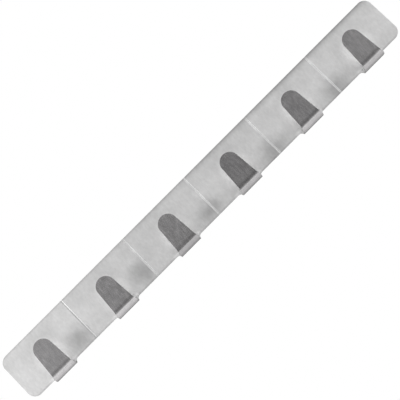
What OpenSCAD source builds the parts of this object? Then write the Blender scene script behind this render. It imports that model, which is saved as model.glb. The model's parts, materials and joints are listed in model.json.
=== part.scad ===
// Hook rack with a magnetic back.
// One stamped steel strip carries a row of J hooks, bent forward and up from its lower edge.
// Score lines divide the strip into snap-off sections with one hook each, and each section
// has its own flexible magnet pad, bonded to its back with an adhesive film.
//
// The origin is the centre of the magnetic back. +X runs along the strip, +Z is up, and the
// front faces -Y. Outlines are drawn as seen from the front, with their zero height at the
// strip's lower edge. Depths are measured forward from the back.

/* [Strip] */
// Length of the whole strip
strip_len = 400; // [320:1:600]
// Height of the strip
strip_h = 40; // [34:0.5:60]
// Thickness of the steel sheet
sheet_t = 1; // [0.6:0.1:1.6]
// Radius of the strip's four outer corners
corner_r = 7; // [1:0.5:16]
// Number of snap-off sections, each with one hook
sections = 6; // [3:1:8]

/* [Score lines] */
// Width of the V groove between two sections, at the front face
score_w = 1.6; // [0.4:0.1:3]
// Depth of the V groove
score_d = 0.4; // [0.1:0.05:0.5]

/* [Hooks] */
// Width of a hook at its root, between the fillets
root_w = 20.4; // [17:0.2:28]
// Width of the tongue where it leaves the front bend
tongue_w = 18.7; // [14:0.1:26]
// Width of the tongue's round tip
tip_w = 15.8; // [8:0.2:18]
// Height of the tip above the strip's lower edge
tip_rise = 29.6; // [22:0.1:34]
// Flat stretch of the hook below the strip's lower edge, before its first bend
root_drop = 0.2; // [0.1:0.1:3]
// Outer radius of the bend at the hook's root
root_bend_r = 2.8; // [2:0.1:5]
// Flat length of the hook's floor, between its two bends
floor_len = 3.6; // [0.2:0.1:12]
// Outer radius of the bend at the foot of the tongue
front_bend_r = 4.8; // [3:0.1:9]
// Radius of the fillets between the hook's root and the strip's lower edge
root_fillet_r = 2.8; // [0.5:0.1:4]

/* [Magnet pads] */
// Thickness of the magnet pads
pad_t = 2; // [1:0.1:4]
// Distance from the pads to the strip's outline
pad_margin = 3; // [1:0.5:6]
// Width of the slit between two pads, behind each score line
pad_slit = 0.4; // [0.2:0.1:2]

/* [Adhesive films] */
// Thickness of the adhesive films
film_t = 0.2; // [0.1:0.05:0.5]
// Distance from a film's edge to the edge of its pad
film_margin = 0.5; // [0.2:0.1:2]

/* [Hidden] */
$fn = 96;
// Sharpest corner that a pad or a film is cut with
min_corner_r = 1;
// How far a cutting or trimming shape runs past what it cuts
over = 1;
// Keeps the corners of the hook's outline clear of the edges of its bends
edge_clear = 0.5;

// Length of one section
pitch = strip_len / sections;

// Depths of the layers and of the hook, forward from the back
steel_back = pad_t + film_t;
steel_front = steel_back + sheet_t;
floor_mid = steel_back + root_bend_r + floor_len / 2;
hook_reach = root_bend_r + floor_len + front_bend_r;

// Heights of the hook, above the strip's lower edge
floor_z = -root_drop - root_bend_r;
taper_z = floor_z + sheet_t + edge_clear;
bend_top_z = floor_z + front_bend_r;
tongue_z = bend_top_z + edge_clear;
tip_z = tip_rise - tip_w / 2;

// A fillet can be no taller than the part of the hook that hangs below the strip
fillet_r = min(root_fillet_r, -floor_z);

function mirrored(points) = [for (i = [len(points) - 1:-1:0]) [-points[i].x, points[i].y]];
// X of the score line or strip end at the left of section i, and of that section's middle
function boundary_x(i) = (i - sections / 2) * pitch;
function middle_x(i) = boundary_x(i) + pitch / 2;

// Gives an outline its thickness, between two depths
module slab(back, front) {
    translate([0, -back, -strip_h / 2])
        rotate([90, 0, 0])
            linear_extrude(height = front - back)
                children();
}

// Outline of the whole strip, or of a sheet that keeps a margin inside it
module strip_outline(margin) {
    r = max(corner_r - margin, min_corner_r);
    half_len = strip_len / 2 - margin;
    top = strip_h - margin;
    translate([-half_len, margin + r]) square([2 * half_len, top - margin - 2 * r]);
    translate([r - half_len, margin]) square([2 * (half_len - r), top - margin]);
    for (x = [r - half_len, half_len - r])
        for (z = [margin + r, top - r])
            translate([x, z]) circle(r);
}

// The part of that outline that lies in section i, short of its two boundaries by a gap
module section_outline(i, margin, gap) {
    intersection() {
        strip_outline(margin);
        translate([boundary_x(i) + gap, -over]) square([pitch - 2 * gap, strip_h + 2 * over]);
    }
}

// A quarter bend of the sheet: side -1 bends the back corner, and side 1 the front corner
module quarter_bend(r, side) {
    intersection() {
        difference() {
            circle(r);
            circle(r - sheet_t);
        }
        translate([side * r / 2 - r / 2, -r]) square(r);
    }
}

// Side view of the sheet: x runs forward from its back face, y up from the strip's lower edge
module sheet_profile() {
    front_bend_x = root_bend_r + floor_len;
    translate([0, -root_drop]) square([sheet_t, strip_h + root_drop]);
    translate([root_bend_r, -root_drop]) quarter_bend(root_bend_r, -1);
    translate([root_bend_r, floor_z]) square([floor_len, sheet_t]);
    translate([front_bend_x, bend_top_z]) quarter_bend(front_bend_r, 1);
    translate([front_bend_x + front_bend_r - sheet_t, bend_top_z]) square([sheet_t, tip_rise]);
}

// Front view of the hook's root, which widens into the strip's lower edge through two fillets
module root_outline() {
    difference() {
        translate([-root_w / 2 - fillet_r, floor_z - over])
            square([root_w + 2 * fillet_r, 2 * over - floor_z]);
        for (side = [-1, 1])
            translate([side * (root_w / 2 + fillet_r), -fillet_r]) {
                circle(fillet_r);
                translate([-fillet_r, floor_z - over]) square([2 * fillet_r, over - floor_z]);
            }
    }
}

// Front view of the tongue: it tapers from the root's width and ends in a round tip
module tongue_outline() {
    right_side = [
        [root_w / 2, floor_z - over],
        [root_w / 2, taper_z],
        [tongue_w / 2, tongue_z],
        [tip_w / 2, tip_z]
    ];
    polygon(concat(right_side, mirrored(right_side)));
    translate([0, tip_z]) circle(tip_w / 2);
}

// V groove at a score line, as tall as the strip
module score_groove() {
    translate([0, -steel_front, -strip_h / 2 - over])
        linear_extrude(height = strip_h + 2 * over)
            polygon([
                [-score_w / 2, -over],
                [score_w / 2, -over],
                [score_w / 2, 0],
                [0, score_d],
                [-score_w / 2, 0]
            ]);
}

// The sheet, bent along the whole section and then trimmed to its two outlines: the plate
// and the hook's root as far as the middle of the floor, and the tongue in front of that
module hook_section(i) {
    color("gainsboro")
    difference() {
        intersection() {
            translate([middle_x(i), -steel_back, -strip_h / 2])
                rotate([90, 0, -90])
                    linear_extrude(height = pitch, center = true)
                        sheet_profile();
            union() {
                slab(steel_back - over, floor_mid) {
                    section_outline(i, 0, 0);
                    translate([middle_x(i), 0]) root_outline();
                }
                slab(floor_mid, steel_back + hook_reach + over)
                    translate([middle_x(i), 0]) tongue_outline();
            }
        }
        for (boundary = [i, i + 1])
            if (boundary > 0 && boundary < sections)
                translate([boundary_x(boundary), 0, 0]) score_groove();
    }
}

module adhesive_film(i) {
    color("white")
        slab(pad_t, steel_back)
            section_outline(i, pad_margin + film_margin, pad_slit / 2 + film_margin);
}

module magnet_pad(i) {
    color("dimgray")
        slab(0, pad_t)
            section_outline(i, pad_margin, pad_slit / 2);
}

for (i = [0:sections - 1]) {
    hook_section(i);
    adhesive_film(i);
    magnet_pad(i);
}
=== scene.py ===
"""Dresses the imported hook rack: brushed steel sections, magnet pads, films, and a plain studio."""

import json
import math

import bmesh
import bpy
from bpy.props import FloatProperty, FloatVectorProperty, PointerProperty
from mathutils import Matrix, Vector
from mathutils.bvhtree import BVHTree

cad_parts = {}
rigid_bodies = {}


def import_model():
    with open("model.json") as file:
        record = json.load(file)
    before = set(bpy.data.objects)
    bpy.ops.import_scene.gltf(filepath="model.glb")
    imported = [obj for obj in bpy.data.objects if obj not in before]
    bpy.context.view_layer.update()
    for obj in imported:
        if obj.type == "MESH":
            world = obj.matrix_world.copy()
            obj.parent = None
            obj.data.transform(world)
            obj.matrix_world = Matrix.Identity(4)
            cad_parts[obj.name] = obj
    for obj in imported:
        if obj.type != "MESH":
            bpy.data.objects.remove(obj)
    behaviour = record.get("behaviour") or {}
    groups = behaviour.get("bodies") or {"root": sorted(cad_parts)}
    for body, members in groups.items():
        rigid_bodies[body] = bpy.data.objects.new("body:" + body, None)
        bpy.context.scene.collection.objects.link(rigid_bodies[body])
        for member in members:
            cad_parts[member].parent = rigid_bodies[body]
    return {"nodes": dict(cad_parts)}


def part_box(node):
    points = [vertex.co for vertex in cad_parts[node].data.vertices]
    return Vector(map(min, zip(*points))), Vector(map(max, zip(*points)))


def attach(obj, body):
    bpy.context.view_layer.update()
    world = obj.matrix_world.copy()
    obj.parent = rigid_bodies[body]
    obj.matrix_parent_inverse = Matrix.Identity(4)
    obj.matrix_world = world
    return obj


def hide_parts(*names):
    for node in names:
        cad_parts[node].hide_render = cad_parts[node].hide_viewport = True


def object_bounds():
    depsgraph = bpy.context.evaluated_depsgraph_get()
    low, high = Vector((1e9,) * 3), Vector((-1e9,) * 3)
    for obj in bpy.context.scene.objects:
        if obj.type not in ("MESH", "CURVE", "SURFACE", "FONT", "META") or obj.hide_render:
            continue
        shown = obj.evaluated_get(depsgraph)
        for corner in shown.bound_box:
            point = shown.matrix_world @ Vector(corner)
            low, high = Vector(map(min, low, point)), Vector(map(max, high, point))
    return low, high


bl_info = {
    "name": "Magnetic Hook Rack",
    "version": (1, 0, 0),
    "blender": (4, 5, 0),
    "location": "View3D > Sidebar > Hook Rack",
    "description": "Finishes a scored steel rack of J hooks with a magnetic back, and sets up a studio",
    "category": "Object",
}

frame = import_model()
CAD_LOW, CAD_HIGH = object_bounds()
SECTIONS = sorted(name for name in frame["nodes"] if name.startswith("hook_section_"))
# Distance from one hook to the next
PITCH = (CAD_HIGH.x - CAD_LOW.x) / len(SECTIONS)
MM = 0.001
# Thickness of the steel sheet, and the y at which its front side lies
SHEET = 1.0 * MM
FACE_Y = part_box(SECTIONS[0])[1].y - SHEET

# The photograph's frame, and what shows where in it
W, H = 400, 400
IMAGE_TIPS = [(35.5, 341.4), (98.7, 278.2), (160.5, 216.5), (222.5, 154.5), (284.2, 92.7), (346.2, 30.7)]
IMAGE_SEAMS = [(78.5, 319.4), (140.3, 257.6), (201.1, 196.7), (262.0, 135.9), (322.1, 75.8)]
# Image points of the painted shadows that the tongues cast on the face to their right
IMAGE_TONGUE_SHADOWS = [(80.1, 336.9), (143.1, 270.9), (209.5, 210.3), (275.4, 149.0), (337.5, 88.5)]


# ---------------------------------------------------------------- places on the steel

# Heights and places along the strip, in metres from its middle. A pair gives where a change
# starts and where it is complete.

# Painted shade: the light falls off towards the upper edge, more so towards the right, and leaves it darker
UPPER_SHADE_HEIGHTS = (0.0135, 0.0195)
UPPER_SHADE_PLACES = (-0.13, 0.11)
UPPER_SHADE_DEPTH = 0.36
# The face is slightly darker along the lower edge of the right half
LOWER_DIM_HEIGHTS = (-0.007, -0.014)
LOWER_DIM_PLACES = (-0.08, 0.01)
LOWER_DIM_DEPTH = 0.045
# A narrow darker rim runs along the upper and the lower edge
RIM_HEIGHTS = (0.0183, 0.0195)
RIM_TONE = 0.84
# Painted light: the lower half is a little brighter, and the upper half loses that up to this height
LOWER_HALF_HEIGHTS = (0.0, 0.012)
LOWER_HALF_TONE = 1.055
# Painted highlights where the fillets of a hook's root start to turn forward: x and height of each
# highlight's middle, and its reach along the strip and up. That x is counted from the hook's own middle.
PAINTED_ROOT_HIGHLIGHTS = (
    ((-0.0123, -0.0197), (0.0056, 0.0036)),
    ((0.0116, -0.0192), (0.0028, 0.0034)),
)
# Height of the darker places on the face
DIM_PLACE_HEIGHT = -0.006
# Height of the painted fill light behind the hooks, which makes up for the light that the tongues block, and
# the share of each patch that is evenly bright
FILL_LIGHT_HEIGHT = -0.0075
FILL_LIGHT_CORE = 0.25
# The painted shadows' outlines wander by half of this each way, with so many waves to the metre
SHADOW_WANDER = 0.012
SHADOW_WAVES = 90.0
# So many painted shadows, from the left, stop at their section's score line, over this width
CUT_SHADOWS = 2
CUT_WIDTH = 0.0004
# Upper end of the bend at the foot of a tongue, and of the painted dark reflection just above it
BEND_END = (-0.0185, -0.0178)
FOOT_REFLECTION_END = (-0.0172, -0.0150)
FOOT_REFLECTION_DEPTH = 0.28
# The y beyond which the sheet is the upright outside of a tongue
TONGUE_DEPTHS = (-0.0120, -0.0122)
# Upper end of the painted darker reflection on the undersides of the hooks
UNDERSIDE_REFLECTION_END = (-0.0225, -0.0217)
UNDERSIDE_REFLECTION_TONE = 0.78


# ---------------------------------------------------------------- places in the studio

# The two round lamps, which look at the rack
KEY_PLACE = (0.05, -1.0, 1.12)
KEY_WIDTH = 1.6
SIDE_PLACE = (-1.65, -0.58, 0.97)
SIDE_WIDTH = 0.6
# The floor's radius, and the distances from its middle between which it fades away
FLOOR_RADIUS = 1.0
FLOOR_FADE = (0.45, 0.9)
# Shares of a direction that point right and up, between which the sides and the ceiling take over
SIDE_SPAN = (-0.8, 0.8)
CEILING_SPAN = (0.35, 0.9)
# Darker patches in what steel reflects: the way to the middle of each, the angle from there beyond
# which it is gone, and the angle within which it is darkest
FRONT_PATCH = ((0.08, -0.99, 0.05), math.radians(26), math.radians(11))
BACK_PATCH = ((0.0, 0.97, -0.24), math.radians(42), math.radians(18))
KEY_PATCH = (KEY_PLACE, math.radians(42), math.radians(14))


# ---------------------------------------------------------------- settings


class RackSteelSettings(bpy.types.PropertyGroup):
    """Colours, tones and edge sizes of the steel"""

    face_colour: FloatVectorProperty(
        name="Brushed face", description="Reflected colour of the brushed front side",
        subtype="COLOR", size=3, min=0, max=1, default=(0.60, 0.598, 0.598))
    back_colour: FloatVectorProperty(
        name="Mill back",
        description="Reflected colour of the unbrushed side, which is the outside of the hooks",
        subtype="COLOR", size=3, min=0, max=1, default=(0.48, 0.47, 0.475))
    edge_colour: FloatVectorProperty(
        name="Cut edge", description="Reflected colour of the punched edges",
        subtype="COLOR", size=3, min=0, max=1, default=(0.30, 0.295, 0.29))
    score_colour: FloatVectorProperty(
        name="Score line", description="Reflected colour of the burnished grooves",
        subtype="COLOR", size=3, min=0, max=1, default=(0.495, 0.495, 0.495))
    edge_round: FloatProperty(
        name="Edge rounding", description="Width that the tumbled edges are rounded over",
        subtype="DISTANCE", unit="LENGTH", min=0.00002, max=0.0004, default=0.00022)
    # Painted light: the section, tongue and bend tones make each part as bright as the light that it catches
    section_tones: FloatVectorProperty(
        name="Section tones", description="Brightness of each section's face, from left to right",
        size=6, min=0.5, max=1.5, default=(0.98, 0.92, 0.92, 0.91, 0.95, 0.99))
    tongue_tones: FloatVectorProperty(
        name="Tongue tones", description="Brightness of each tongue's outside, from left to right",
        size=6, min=0.5, max=1.5, default=(0.96, 1.02, 1.07, 0.875, 0.975, 1.035))
    bend_tones: FloatVectorProperty(
        name="Bend tones",
        description="Brightness of the bend at the foot of each tongue, from left to right",
        size=6, min=0.5, max=1.5, default=(1.10, 1.07, 0.83, 0.94, 1.06, 1.0))
    # Painted light: each slope of a groove is brightened or darkened as the light falls on it
    left_slope_tones: FloatVectorProperty(
        name="Left slope tones",
        description="Brightness of the left slope of each groove, from left to right",
        size=5, min=0.5, max=2, default=(0.97, 1.30, 1.38, 1.40, 1.48))
    right_slope_tones: FloatVectorProperty(
        name="Right slope tones",
        description="Brightness of the right slope of each groove, from left to right",
        size=5, min=0.5, max=2, default=(1.06, 0.92, 0.93, 0.93, 1.0))
    # Painted shadows: the dull clouds are soft shadows of the tongues from the low lamp at the left, painted
    # into the face's colour
    shadow_size: FloatVectorProperty(
        name="Cloud size", description="Reach of the dull clouds beside the hooks, along the strip and up",
        unit="LENGTH", size=2, min=0.001, max=0.05, default=(0.018, 0.0155))
    shadow_depth: FloatProperty(
        name="Cloud depth", description="How much darker the middle of a cloud is",
        subtype="FACTOR", min=0, max=1, default=0.30)
    # Darker places on the face, at the given places along the strip
    dim_place_x: FloatVectorProperty(
        name="Faint places", description="Where along the strip the brushing is fainter, from left to right",
        unit="LENGTH", size=4, default=(-0.0615, 0.002, 0.071, 0.139))
    dim_place_depths: FloatVectorProperty(
        name="Faint depths", description="How much darker the middle of each faint place is",
        size=4, min=0, max=1, default=(0.085, 0.03, 0.045, 0.065))
    dim_place_size: FloatVectorProperty(
        name="Faint size", description="Reach of a faint place, along the strip and up",
        unit="LENGTH", size=2, min=0.001, max=0.1, default=(0.024, 0.050))
    # Painted highlights at the left and right of each hook's root
    root_highlight_gains: FloatVectorProperty(
        name="Root gains",
        description="How much brighter the strip is at the left and right of a hook's root",
        size=2, min=0, max=1, default=(0.36, 0.26))
    # Painted light: the bright places behind the hooks make up for the light that the tongues block
    fill_light_size: FloatVectorProperty(
        name="Rubbed size", description="Reach of the bright place behind each hook, along the strip and up",
        unit="LENGTH", size=2, min=0.001, max=0.05, default=(0.017, 0.022))
    fill_light_gains: FloatVectorProperty(
        name="Rubbed gains",
        description="How much brighter hung things have rubbed each place, left to right",
        size=6, min=0, max=1, default=(0.45, 0.51, 0.41, 0.52, 0.46, 0.48))


class RackMagnetSettings(bpy.types.PropertyGroup):
    """Colours and edges of the magnet pads and their films"""

    rubber_colour: FloatVectorProperty(
        name="Magnet rubber", description="Colour of the ferrite-filled rubber",
        subtype="COLOR", size=3, min=0, max=1, default=(0.035, 0.033, 0.031))
    film_colour: FloatVectorProperty(
        name="Adhesive film", description="Colour of the milky double-sided film",
        subtype="COLOR", size=3, min=0, max=1, default=(0.80, 0.80, 0.77))
    pad_round: FloatProperty(
        name="Pad edge rounding", description="Width that the die-cut edges of the pads are rounded over",
        subtype="DISTANCE", unit="LENGTH", min=0.00002, max=0.0005, default=0.0002)


class RackStudioSettings(bpy.types.PropertyGroup):
    """Camera, floor and lights"""

    camera_place: FloatVectorProperty(
        name="Camera place", description="Where the camera stands",
        subtype="XYZ", unit="LENGTH", size=3, default=(-0.03287, -0.78845, -0.10653))
    camera_aim: FloatVectorProperty(
        name="Camera aim", description="Point that the middle of the picture looks at",
        subtype="XYZ", unit="LENGTH", size=3, default=(-0.00293, -0.0032, -0.00129))
    camera_roll: FloatProperty(
        name="Camera roll", description="Turn about the line of sight that lays the rack along the diagonal",
        subtype="ANGLE", unit="ROTATION", default=math.radians(45.365))
    lens: FloatProperty(
        name="Lens",
        description="Focal length on a 36 mm sensor",
        unit="CAMERA", min=10, max=300, default=92.6)
    floor_drop: FloatProperty(
        name="Floor drop", description="Distance from the lowest point of the rack down to the floor",
        subtype="DISTANCE", unit="LENGTH", min=0, max=2, default=0.30)
    floor_colour: FloatVectorProperty(
        name="Floor", description="Colour of the floor", subtype="COLOR", size=3, min=0, max=1,
        default=(0.88, 0.88, 0.88))
    ambient: FloatProperty(
        name="Ambient", description="Strength of the even light on matt surfaces", min=0, max=2, default=0.7)
    side_levels: FloatVectorProperty(
        name="Side levels",
        description="Brightness that steel reflects from the left and the right of the studio",
        size=2, min=0, max=2, default=(1.3, 1.1))
    ceiling: FloatProperty(
        name="Ceiling", description="Brightness that steel reflects from above", min=0, max=1, default=0.35)
    front_shade: FloatProperty(
        name="Front shade",
        description="Brightness that steel reflects from the dark place behind the camera",
        min=0, max=1, default=0.245)
    back_shade: FloatProperty(
        name="Back shade",
        description="Brightness that steel reflects from the dark place low behind the rack",
        min=0, max=1, default=0.3)
    key_shade: FloatProperty(
        name="Key shade",
        description="Brightness that steel reflects from the dark place around the key lamp",
        min=0, max=1, default=0.3)
    key_power: FloatProperty(
        name="Key power", description="Power of the broad lamp above the camera", unit="POWER",
        min=0, max=100, default=10)
    side_power: FloatProperty(
        name="Side power", description="Power of the lamp far out at the left", unit="POWER",
        min=0, max=100, default=18)


class RackSettings(bpy.types.PropertyGroup):
    """All settings of the hook rack"""

    steel: PointerProperty(type=RackSteelSettings)
    magnet: PointerProperty(type=RackMagnetSettings)
    studio: PointerProperty(type=RackStudioSettings)


# ---------------------------------------------------------------- shader helpers

# The range that most of a noise pattern's values lie in
NOISE_SPAN = (0.3, 0.7)


def add_node(tree, kind, inputs=None, **options):
    """Adds a node. An input that is a socket is linked, and any other is set as a constant."""
    node = tree.nodes.new(kind)
    for option, value in options.items():
        setattr(node, option, value)
    for key, value in (inputs or {}).items():
        if isinstance(value, bpy.types.NodeSocket):
            tree.links.new(value, node.inputs[key])
        else:
            node.inputs[key].default_value = value
    return node


def new_material(name, metallic=0.0):
    """A new material, its node tree and its Principled shader."""
    material = bpy.data.materials.new(name)
    material.use_nodes = True
    shader = material.node_tree.nodes["Principled BSDF"]
    shader.inputs["Metallic"].default_value = metallic
    return material, material.node_tree, shader


def object_place(tree):
    """Object coordinates, whole and split into X, Y and Z."""
    place = add_node(tree, "ShaderNodeTexCoord").outputs["Object"]
    return place, add_node(tree, "ShaderNodeSeparateXYZ", {"Vector": place}).outputs


def attribute(tree, name):
    """A tone that the mesh carries under this name."""
    return add_node(tree, "ShaderNodeAttribute", attribute_name=name).outputs["Fac"]


def pattern(tree, per_metre, detail=2.0, roughness=0.5):
    """Noise from 0 to 1, with about so many grains to the metre along each axis."""
    place = add_node(tree, "ShaderNodeTexCoord").outputs["Object"]
    place = add_node(tree, "ShaderNodeMapping", {"Vector": place, "Scale": per_metre}).outputs["Vector"]
    inputs = {"Vector": place, "Scale": 1.0, "Detail": detail, "Roughness": roughness}
    return add_node(tree, "ShaderNodeTexNoise", inputs).outputs["Fac"]


def remap(tree, value, span, ends, smooth=False):
    """Maps the span's two values to the two ends, and holds the ends beyond it."""
    inputs = {"Value": value, "From Min": span[0], "From Max": span[1], "To Min": ends[0], "To Max": ends[1]}
    kind = "SMOOTHSTEP" if smooth else "LINEAR"
    return add_node(tree, "ShaderNodeMapRange", inputs, interpolation_type=kind).outputs["Result"]


def varied(tree, noise, spread):
    """A tone that a noise pattern moves by up to the spread, down and up from 1."""
    return remap(tree, noise, NOISE_SPAN, (1.0 - spread, 1.0 + spread))


def arithmetic(tree, operation, a, b=0.0):
    """One arithmetic step on two values, or on the first of them alone."""
    return add_node(tree, "ShaderNodeMath", {0: a, 1: b}, operation=operation).outputs["Value"]


def product(tree, first, *others):
    """All the tones multiplied together."""
    for other in others:
        first = arithmetic(tree, "MULTIPLY", first, other)
    return first


def darker_by(tree, depth):
    """The tone of what is darker by this share."""
    return arithmetic(tree, "SUBTRACT", 1.0, depth)


def vector_step(tree, operation, inputs, output="Vector"):
    """One arithmetic step on vectors."""
    return add_node(tree, "ShaderNodeVectorMath", inputs, operation=operation).outputs[output]


def toned(tree, colour, tone):
    """The colour multiplied by a tone that varies over the surface."""
    return vector_step(tree, "SCALE", {"Vector": tuple(colour), "Scale": tone})


def relief(tree, height, depth):
    """A normal for a surface that rises by up to the depth, in metres."""
    inputs = {"Height": height, "Distance": depth, "Strength": 1.0}
    return add_node(tree, "ShaderNodeBump", inputs).outputs["Normal"]


def finish(tree, shader, colour, roughness, normal=None):
    """Links a colour, a roughness and, if there is one, a normal to the shader."""
    tree.links.new(colour, shader.inputs["Base Color"])
    tree.links.new(roughness, shader.inputs["Roughness"])
    if normal:
        tree.links.new(normal, shader.inputs["Normal"])


def reach_from(tree, place, centre, size):
    """Distance from a centre as a share of a patch's size along the strip and up: 1 is the patch's rim."""
    offset = vector_step(tree, "SUBTRACT", {0: place, 1: tuple(centre)})
    scaled = vector_step(tree, "MULTIPLY", {0: offset, 1: (1 / size[0], 1, 1 / size[1])})
    return vector_step(tree, "LENGTH", {0: scaled}, "Value")


def soft_patch(tree, reach, middle, core=0.0):
    """Tone of a patch: even in its core, fading towards its rim, and 1 around it."""
    return remap(tree, reach, (core, 1.0), (middle, 1.0), smooth=True)


def wandering(tree, place):
    """The place moved about in waves, which gives what is drawn there an uneven outline."""
    waves = add_node(tree, "ShaderNodeTexNoise", {"Vector": place, "Scale": SHADOW_WAVES, "Detail": 2.0})
    offset = vector_step(tree, "SUBTRACT", {0: waves.outputs["Color"], 1: (0.5, 0.5, 0.5)})
    offset = vector_step(tree, "SCALE", {"Vector": offset, "Scale": SHADOW_WANDER})
    return vector_step(tree, "ADD", {0: place, 1: offset})


# ---------------------------------------------------------------- materials


def painted_tongue_shadow(tree, place, centre, settings, end):
    """Tone of a painted soft shadow that a tongue casts, which is 1 around it. It stops at the given x."""
    x = add_node(tree, "ShaderNodeSeparateXYZ", {"Vector": place}).outputs["X"]
    depth = remap(tree, x, (end, end + CUT_WIDTH), (settings.shadow_depth, 0.0))
    reach = reach_from(tree, place, centre, settings.shadow_size)
    return soft_patch(tree, reach, darker_by(tree, depth))


def border_tone(tree, split):
    """Tone of the front side towards the strip's upper and lower edges, with painted shade towards the upper
    edge.
    """
    # painted shade: darker towards the upper edge, more so at the right
    upper_shade = arithmetic(tree, "POWER", remap(tree, split["Z"], UPPER_SHADE_HEIGHTS, (0.0, 1.0)), 2.0)
    upper_shade = product(tree, upper_shade, remap(tree, split["X"], UPPER_SHADE_PLACES, (0.0, UPPER_SHADE_DEPTH)))
    lower_dim = remap(tree, split["Z"], LOWER_DIM_HEIGHTS, (0.0, 1.0), smooth=True)
    lower_dim = product(tree, lower_dim, remap(tree, split["X"], LOWER_DIM_PLACES, (0.0, LOWER_DIM_DEPTH)))
    height = arithmetic(tree, "ABSOLUTE", split["Z"])
    rim = remap(tree, height, RIM_HEIGHTS, (1.0, RIM_TONE), smooth=True)
    return product(tree, rim, darker_by(tree, lower_dim), darker_by(tree, upper_shade))


def painted_root_highlight(tree, split, gains):
    """Tone with painted highlights at the fillets of the hooks' roots, where the sheet starts to turn
    forward.
    """
    from_end = arithmetic(tree, "SUBTRACT", split["X"], CAD_LOW.x)
    from_hook = arithmetic(tree, "SUBTRACT", arithmetic(tree, "MODULO", from_end, PITCH), PITCH / 2)
    place = add_node(tree, "ShaderNodeCombineXYZ", {"X": from_hook, "Z": split["Z"]}).outputs["Vector"]
    shines = []
    for ((x, z), size), gain in zip(PAINTED_ROOT_HIGHLIGHTS, gains):
        shines.append(soft_patch(tree, reach_from(tree, place, (x, 0, z), size), 1.0 + gain))
    return product(tree, *shines)


def brushed_face(settings, clouds, brightened):
    """Satin front side: grain, mottling, darker borders, darker places, and painted light: shade at the top,
    root highlights, tongue shadows and fill light behind the hooks.
    """
    material, tree, shader = new_material("brushed_steel_face", metallic=1.0)
    place, split = object_place(tree)
    grain = pattern(tree, (5200, 5200, 420), 3.0, 0.65)
    mottle = pattern(tree, (520, 520, 300), 3.0, 0.6)
    sweep = pattern(tree, (90, 90, 70))
    tones = [
        varied(tree, grain, 0.05),
        varied(tree, mottle, 0.055),
        varied(tree, sweep, 0.04),
        # painted light: each section's face as bright as the light it catches
        attribute(tree, "face_tone"),
        # painted light: the lower half is a little brighter
        remap(tree, split["Z"], LOWER_HALF_HEIGHTS, (LOWER_HALF_TONE, 1.0), smooth=True),
        border_tone(tree, split),
        painted_root_highlight(tree, split, settings.root_highlight_gains),
    ]
    # darker places on the face
    for x, depth in zip(settings.dim_place_x, settings.dim_place_depths):
        reach = reach_from(tree, place, (x, FACE_Y, DIM_PLACE_HEIGHT), settings.dim_place_size)
        tones.append(soft_patch(tree, reach, 1.0 - depth))
    uneven = wandering(tree, place)
    # painted shadows of the tongues, as a low lamp at the left would cast them
    for centre, end in clouds:
        tones.append(painted_tongue_shadow(tree, uneven, centre, settings, end))
    # painted fill light behind each hook, which makes up for the light that its tongue blocks
    for centre, gain in zip(brightened, settings.fill_light_gains):
        reach = reach_from(tree, place, centre, settings.fill_light_size)
        tones.append(soft_patch(tree, reach, 1.0 + gain, FILL_LIGHT_CORE))
    colour = toned(tree, settings.face_colour, product(tree, *tones))
    roughness = remap(tree, grain, (0.25, 0.75), (0.58, 0.66))
    finish(tree, shader, colour, roughness, relief(tree, grain, 0.004 * MM))
    return material


def mill_back(settings):
    """Rolled back side, which turns outwards on the hooks: smoother, darker, with faint rolling streaks, and
    painted reflections on the bends, tongues, tongue feet and undersides.
    """
    material, tree, shader = new_material("mill_steel_back", metallic=1.0)
    split = object_place(tree)[1]
    streaks = pattern(tree, (620, 620, 180), roughness=0.6)
    patches = pattern(tree, (330, 330, 260))
    above_bend = remap(tree, split["Z"], BEND_END, (0.0, 1.0))
    # painted light: each bend and tongue as bright as the light it reflects
    hook = remap(tree, above_bend, (0.0, 1.0), (attribute(tree, "bend_tone"), attribute(tree, "tongue_tone")))
    # painted dark reflection: a darker line along the foot of each tongue
    below_end = remap(tree, split["Z"], FOOT_REFLECTION_END, (1.0, 0.0), smooth=True)
    on_tongue = remap(tree, split["Y"], TONGUE_DEPTHS, (0.0, FOOT_REFLECTION_DEPTH))
    foot_reflection = darker_by(tree, product(tree, above_bend, below_end, on_tongue))
    # and the undersides of the hooks get a painted darker reflection
    underside = remap(tree, split["Z"], UNDERSIDE_REFLECTION_END, (UNDERSIDE_REFLECTION_TONE, 1.0))
    tone = product(tree, varied(tree, streaks, 0.04), varied(tree, patches, 0.05), hook, foot_reflection, underside)
    colour = toned(tree, settings.back_colour, tone)
    roughness = remap(tree, streaks, NOISE_SPAN, (0.20, 0.27))
    finish(tree, shader, colour, roughness, relief(tree, streaks, 0.003 * MM))
    return material


def cut_edge(settings):
    """Punched and tumbled edges, with small nicks."""
    material, tree, shader = new_material("punched_steel_edge", metallic=1.0)
    nicks = pattern(tree, (2600, 300, 2600), roughness=0.6)
    colour = toned(tree, settings.edge_colour, remap(tree, nicks, NOISE_SPAN, (0.85, 1.1)))
    roughness = remap(tree, nicks, NOISE_SPAN, (0.30, 0.45))
    finish(tree, shader, colour, roughness)
    return material


def burnished_score(settings):
    """The grooves, which the scoring tool has left smoother, with painted light that brightens or darkens
    each slope.
    """
    material, tree, shader = new_material("burnished_score_line", metallic=1.0)
    drawn = pattern(tree, (4000, 4000, 300))
    chatter = pattern(tree, (120, 120, 120))
    tone = product(
        tree,
        varied(tree, drawn, 0.06),
        remap(tree, chatter, (0.35, 0.65), (0.93, 1.07)),
        attribute(tree, "slope_tone"),
        border_tone(tree, object_place(tree)[1]))
    colour = toned(tree, settings.score_colour, tone)
    roughness = remap(tree, drawn, NOISE_SPAN, (0.45, 0.55))
    finish(tree, shader, colour, roughness)
    return material


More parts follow.
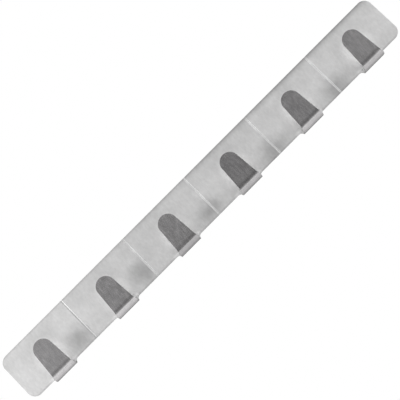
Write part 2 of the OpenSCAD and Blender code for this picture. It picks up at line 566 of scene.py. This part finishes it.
def magnet_rubber(settings):
    """Ferrite-filled rubber: matt, near black, with calender lines along the strip and a fine speckle."""
    material, tree, shader = new_material("ferrite_rubber")
    speckle = pattern(tree, (3000, 3000, 3000), roughness=0.7)
    lines = pattern(tree, (25, 25, 1400), roughness=0.6)
    tone = product(tree, remap(tree, speckle, (0.35, 0.7), (0.8, 1.5)), varied(tree, lines, 0.15))
    colour = toned(tree, settings.rubber_colour, tone)
    roughness = remap(tree, speckle, NOISE_SPAN, (0.62, 0.78))
    finish(tree, shader, colour, roughness, relief(tree, lines, 0.012 * MM))
    return material


def adhesive_film(settings):
    """Milky acrylic film with small trapped bubbles."""
    material, tree, shader = new_material("milky_adhesive_film")
    bubbles = pattern(tree, (900, 900, 900), detail=1.0)
    colour = toned(tree, settings.film_colour, remap(tree, bubbles, NOISE_SPAN, (0.9, 1.0)))
    roughness = remap(tree, bubbles, (0.4, 0.7), (0.30, 0.45))
    finish(tree, shader, colour, roughness)
    return material


# ---------------------------------------------------------------- mesh helpers

# Points closer than this are one point
WELD = 0.01 * MM
# Neighbouring faces that turn by less than the one are flat, and by more than the other meet sharply
FLAT_ANGLE = math.radians(0.2)
SHARP_ANGLE = math.radians(40)


def welded_copy(node):
    """A copy of a CAD node as a bmesh, its loose triangles merged and its flat stretches made whole."""
    bm = bmesh.new()
    bm.from_mesh(frame["nodes"][node].data)
    # corner normals that the CAD mesh may carry wouldn't fit the rounded edges
    for layer in list(bm.loops.layers.float_vector):
        bm.loops.layers.float_vector.remove(layer)
    bmesh.ops.remove_doubles(bm, verts=bm.verts, dist=WELD)
    bmesh.ops.dissolve_limit(bm, angle_limit=FLAT_ANGLE, verts=bm.verts, edges=bm.edges)
    return bm


def is_sharp(edge):
    """Whether an edge's two faces meet sharply."""
    return len(edge.link_faces) == 2 and edge.calc_face_angle() > SHARP_ANGLE


def smooth_region(seed):
    """The faces that a smooth surface joins to the seed: the walk stops at each sharp edge."""
    region = {seed}
    front = [seed]
    while front:
        for edge in front.pop().edges:
            if not is_sharp(edge):
                fresh = [face for face in edge.link_faces if face not in region]
                region.update(fresh)
                front.extend(fresh)
    return region


def round_edges(bm, width, kept=()):
    """Rounds every sharp edge but the kept ones, and returns the new faces."""
    edges = [edge for edge in bm.edges if is_sharp(edge) and edge not in kept]
    made = bmesh.ops.bevel(bm, geom=edges, offset=width, offset_type="OFFSET", segments=2, profile=0.5,
                           affect="EDGES", clamp_overlap=True, material=-1)
    return made["faces"]


def finished_piece(bm, name, node, materials):
    """Makes the bmesh an object that stands for a CAD node and rides on the rack's body."""
    for face in bm.faces:
        face.smooth = True
    mesh = bpy.data.meshes.new(name)
    bm.to_mesh(mesh)
    bm.free()
    for material in materials:
        mesh.materials.append(material)
    piece = bpy.data.objects.new(name, mesh)
    bpy.context.scene.collection.objects.link(piece)
    piece.modifiers.new("even_shading", "WEIGHTED_NORMAL").keep_sharp = True
    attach(piece, "root")
    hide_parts(node)


# ---------------------------------------------------------------- camera and image points


def camera_axes(studio):
    """Place and world turn of the camera: aimed first, then rolled about its line of sight."""
    place, aim = Vector(studio.camera_place), Vector(studio.camera_aim)
    turn = (aim - place).to_track_quat("-Z", "Y").to_matrix()
    return place, turn @ Matrix.Rotation(-studio.camera_roll, 3, "Z")


def image_ray(x, y, camera):
    """Start and direction of the ray through a point of the photograph's frame."""
    size = max(W, H)
    lens = camera.data
    across = x - W / 2 + lens.shift_x * size
    up = H / 2 - y + lens.shift_y * size
    ray = Vector((across, up, -size * lens.lens / lens.sensor_width))
    return camera.matrix_world.translation, (camera.matrix_world.to_3x3() @ ray).normalized()


def surface_tree(nodes):
    """A BVHTree over CAD nodes, as placed."""
    verts, faces = [], []
    for node in nodes:
        mesh = frame["nodes"][node].data
        start = len(verts)
        verts.extend(vert.co.copy() for vert in mesh.vertices)
        faces.extend([start + i for i in face.vertices] for face in mesh.polygons)
    return BVHTree.FromPolygons(verts, faces)


def placed(x, y, tree, camera):
    """Where a point of the photograph lies on the surface, or the nearest place to its ray."""
    start, direction = image_ray(x, y, camera)
    hit = tree.ray_cast(start, direction)[0]
    if hit is not None:
        return hit
    # the ray comes nearest to the surface about where it passes the origin
    reach = -start.dot(direction)
    return tree.find_nearest(start + direction * reach)[0]


# ---------------------------------------------------------------- operators


class RACK_OT_camera(bpy.types.Operator):
    """Stands the camera where the photograph was taken from"""

    bl_idname = "rack.camera"
    bl_label = "Camera"

    def execute(self, context):
        studio = context.scene.rack.studio
        camera = bpy.data.objects.new("photo_camera", bpy.data.cameras.new("photo_camera"))
        context.scene.collection.objects.link(camera)
        camera.data.sensor_fit = "AUTO"
        camera.data.sensor_width = 36
        camera.data.lens = studio.lens
        camera.data.clip_start = 0.01
        place, turn = camera_axes(studio)
        camera.matrix_world = Matrix.Translation(place) @ turn.to_4x4()
        context.scene.camera = camera
        context.view_layer.update()
        return {"FINISHED"}


class RACK_OT_steel_sections(bpy.types.Operator):
    """Makes the steel sections with rounded edges, a brushed face and a mill-finished back"""

    bl_idname = "rack.steel_sections"
    bl_label = "Steel Sections"

    FACE, BACK, EDGE, SCORE = range(4)
    # Least share of a face's normal that points forward or back where the face is flat
    FLAT_FORWARD = 0.99
    # Least shares that point forward and sideways where it is the slope of a groove
    SLOPE_FORWARD = 0.5
    SLOPE_SIDEWAYS = 0.3

    def paint(self, bm):
        """Gives each face the finish of its side of the sheet."""
        for face in bm.faces:
            face.material_index = self.EDGE
        for side, index in ((-1, self.FACE), (1, self.BACK)):
            flats = [face for face in bm.faces if face.normal.y * side > self.FLAT_FORWARD]
            # the plate is the largest flat face that looks straight forward or back
            for face in smooth_region(max(flats, key=lambda flat: flat.calc_area())):
                face.material_index = index
        for face in bm.faces:
            # only the slopes of the grooves look forward and sideways
            if face.normal.y < -self.SLOPE_FORWARD and abs(face.normal.x) > self.SLOPE_SIDEWAYS:
                face.material_index = self.SCORE
                for edge in face.edges:
                    edge.smooth = False

    def seam_edges(self, bm, low, high):
        """The edges in the planes where this section meets its neighbours, which stay sharp."""
        seams = [x for x in (low.x, high.x) if abs(x) < CAD_HIGH.x - MM]
        return {edge for edge in bm.edges for x in seams
                if all(abs(vert.co.x - x) < WELD for vert in edge.verts)}

    def write_tones(self, bm, steel, number, middle):
        """Writes the section's own tones to its left and right half, where the materials read them."""
        # painted light: these tones set each part as bright as the light that it catches
        tones = {
            "face_tone": (steel.section_tones[number], steel.section_tones[number]),
            "tongue_tone": (steel.tongue_tones[number], steel.tongue_tones[number]),
            "bend_tone": (steel.bend_tones[number], steel.bend_tones[number]),
            # a section has the right slope of the groove at its left, and the left slope of the next
            "slope_tone": ((1.0, *steel.right_slope_tones)[number], (*steel.left_slope_tones, 1.0)[number]),
        }
        for name, (left, right) in tones.items():
            layer = bm.verts.layers.float.new(name)
            for vert in bm.verts:
                vert[layer] = right if vert.co.x > middle else left

    def execute(self, context):
        steel = context.scene.rack.steel
        boxes = [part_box(node) for node in SECTIONS]
        middles = [(low.x + high.x) / 2 for low, high in boxes]
        tree = surface_tree(SECTIONS)
        # middles of the painted tongue shadows on the face
        clouds = []
        for number, (x, y) in enumerate(IMAGE_TONGUE_SHADOWS):
            end = boxes[number][1].x if number < CUT_SHADOWS else CAD_HIGH.x
            clouds.append((placed(x, y, tree, context.scene.camera), end))
        # middles of the painted fill light behind the hooks
        brightened = [(middle, FACE_Y, FILL_LIGHT_HEIGHT) for middle in middles]
        face = brushed_face(steel, clouds, brightened)
        materials = [face, mill_back(steel), cut_edge(steel), burnished_score(steel)]
        for number, node in enumerate(SECTIONS):
            bm = welded_copy(node)
            self.paint(bm)
            for rounded in round_edges(bm, steel.edge_round, self.seam_edges(bm, *boxes[number])):
                rounded.material_index = self.EDGE
            self.write_tones(bm, steel, number, middles[number])
            finished_piece(bm, f"steel_section_{number + 1}", node, materials)
        return {"FINISHED"}


class RACK_OT_magnet_pads(bpy.types.Operator):
    """Makes the flexible magnet pads"""

    bl_idname = "rack.magnet_pads"
    bl_label = "Magnet Pads"

    def execute(self, context):
        magnet = context.scene.rack.magnet
        material = magnet_rubber(magnet)
        for number in range(1, len(SECTIONS) + 1):
            node = f"magnet_pad_{number}"
            bm = welded_copy(node)
            round_edges(bm, magnet.pad_round)
            finished_piece(bm, f"rubber_pad_{number}", node, [material])
        return {"FINISHED"}


class RACK_OT_adhesive_films(bpy.types.Operator):
    """Gives the films between the pads and the steel their milky finish"""

    bl_idname = "rack.adhesive_films"
    bl_label = "Adhesive Films"

    def execute(self, context):
        material = adhesive_film(context.scene.rack.magnet)
        for number in range(1, len(SECTIONS) + 1):
            film = frame["nodes"][f"adhesive_film_{number}"]
            film.material_slots[0].material = material
        return {"FINISHED"}


class RACK_OT_stage(bpy.types.Operator):
    """Makes the floor, the white surroundings and the lamps"""

    bl_idname = "rack.stage"
    bl_label = "Stage"

    def lamp(self, name, place, width, power):
        """A round lamp that looks at the rack."""
        data = bpy.data.lights.new(name, "AREA")
        data.shape = "DISK"
        data.size = width
        data.energy = power
        lamp = bpy.data.objects.new(name, data)
        bpy.context.scene.collection.objects.link(lamp)
        turn = (-Vector(place)).to_track_quat("-Z", "Y").to_matrix().to_4x4()
        lamp.matrix_world = Matrix.Translation(place) @ turn

    def world(self, studio):
        """White to the camera, an even light to matt surfaces, and to steel a studio with darker parts."""
        world = bpy.data.worlds.new("studio")
        bpy.context.scene.world = world
        world.use_nodes = True
        tree = world.node_tree
        direction = add_node(tree, "ShaderNodeTexCoord").outputs["Generated"]
        split = add_node(tree, "ShaderNodeSeparateXYZ", {"Vector": direction}).outputs
        sides = remap(tree, split["X"], SIDE_SPAN, studio.side_levels)
        reflected = product(tree, sides, remap(tree, split["Z"], CEILING_SPAN, (1.0, studio.ceiling)))
        for (way, outer, inner), level in (
                (FRONT_PATCH, studio.front_shade),
                (BACK_PATCH, studio.back_shade),
                (KEY_PATCH, studio.key_shade)):
            inputs = {0: direction, 1: Vector(way).normalized()}
            facing = vector_step(tree, "DOT_PRODUCT", inputs, "Value")
            patch = remap(tree, facing, (math.cos(outer), math.cos(inner)), (1.0, level), smooth=True)
            reflected = product(tree, reflected, patch)
        path = add_node(tree, "ShaderNodeLightPath").outputs
        clear = arithmetic(tree, "MAXIMUM", path["Is Camera Ray"], path["Is Transmission Ray"])
        level = remap(tree, path["Is Glossy Ray"], (0.0, 1.0), (studio.ambient, reflected))
        level = remap(tree, clear, (0.0, 1.0), (level, 1.0))
        background = tree.nodes["Background"]
        tree.links.new(level, background.inputs["Color"])
        background.inputs["Strength"].default_value = 1.0

    def floor(self, studio):
        """A pale floor that keeps the rack's shadow and fades into the white around it."""
        material, tree, shader = new_material("pale_floor")
        reach = vector_step(tree, "LENGTH", {0: object_place(tree)[0]}, "Value")
        clear = add_node(tree, "ShaderNodeBsdfTransparent").outputs["BSDF"]
        far = remap(tree, reach, FLOOR_FADE, (0.0, 1.0), smooth=True)
        # from below, the floor doesn't hide the rack
        underside = add_node(tree, "ShaderNodeNewGeometry").outputs["Backfacing"]
        far = arithmetic(tree, "MAXIMUM", far, underside)
        mixed = add_node(tree, "ShaderNodeMixShader", {0: far, 1: shader.outputs["BSDF"], 2: clear})
        tree.links.new(mixed.outputs["Shader"], tree.nodes["Material Output"].inputs["Surface"])
        shader.inputs["Base Color"].default_value = (*studio.floor_colour, 1)
        shader.inputs["Roughness"].default_value = 0.8
        bm = bmesh.new()
        bmesh.ops.create_circle(bm, cap_ends=True, radius=FLOOR_RADIUS, segments=64)
        bmesh.ops.translate(bm, verts=bm.verts, vec=(0, 0, CAD_LOW.z - studio.floor_drop))
        mesh = bpy.data.meshes.new("floor")
        bm.to_mesh(mesh)
        bm.free()
        mesh.materials.append(material)
        floor = bpy.data.objects.new("floor", mesh)
        bpy.context.scene.collection.objects.link(floor)

    def execute(self, context):
        studio = context.scene.rack.studio
        self.world(studio)
        self.floor(studio)
        self.lamp("key_lamp", KEY_PLACE, KEY_WIDTH, studio.key_power)
        self.lamp("side_lamp", SIDE_PLACE, SIDE_WIDTH, studio.side_power)
        context.scene.view_settings.view_transform = "Standard"
        return {"FINISHED"}


class RACK_PT_panel(bpy.types.Panel):
    """Lists the pieces of the rack and their settings"""

    bl_idname = "RACK_PT_panel"
    bl_label = "Hook Rack"
    bl_space_type = "VIEW_3D"
    bl_region_type = "UI"
    bl_category = "Hook Rack"

    def draw(self, context):
        rack = context.scene.rack
        for operator in OPERATORS:
            self.layout.operator(operator.bl_idname)
        for group in (rack.steel, rack.magnet, rack.studio):
            box = self.layout.box()
            for name in group.__annotations__:
                box.prop(group, name)


SETTINGS = (RackSteelSettings, RackMagnetSettings, RackStudioSettings, RackSettings)
OPERATORS = (
    RACK_OT_camera,
    RACK_OT_steel_sections,
    RACK_OT_magnet_pads,
    RACK_OT_adhesive_films,
    RACK_OT_stage,
)


def register():
    """Registers the settings, the operators and the panel."""
    for kind in (*SETTINGS, *OPERATORS, RACK_PT_panel):
        bpy.utils.register_class(kind)
    bpy.types.Scene.rack = PointerProperty(type=RackSettings)


def unregister():
    """Takes back what register() did."""
    del bpy.types.Scene.rack
    for kind in reversed((*SETTINGS, *OPERATORS, RACK_PT_panel)):
        bpy.utils.unregister_class(kind)


# ---------------------------------------------------------------- measures


def write_points():
    """Looks up the named things near their image points; nothing is kept or written."""
    camera = bpy.context.scene.camera

    for number, point in enumerate(IMAGE_TIPS, 1):
        piece = bpy.data.objects[f"steel_section_{number}"]
        front = min(vert.co.y for vert in piece.data.vertices)
    for number, point in enumerate(IMAGE_SEAMS, 1):
        piece = bpy.data.objects[f"steel_section_{number}"]
        seam = max(vert.co.x for vert in piece.data.vertices)
        ends = [vert.co for vert in piece.data.vertices if vert.co.x > seam - 0.01 * MM]
        front = min(co.y for co in ends)
        ends = [co for co in ends if co.y < front + 0.1 * MM]
    tree = surface_tree(SECTIONS)
    for number, point in enumerate(IMAGE_TONGUE_SHADOWS, 1):
        placed(*point, tree, camera)


def main():
    """Registers the add-on, makes every piece and the stage, and looks up the measures, which are not
    written.
    """
    register()
    bpy.ops.rack.camera()
    bpy.ops.rack.steel_sections()
    bpy.ops.rack.magnet_pads()
    bpy.ops.rack.adhesive_films()
    bpy.ops.rack.stage()
    write_points()


if __name__ == "__main__":
    main()
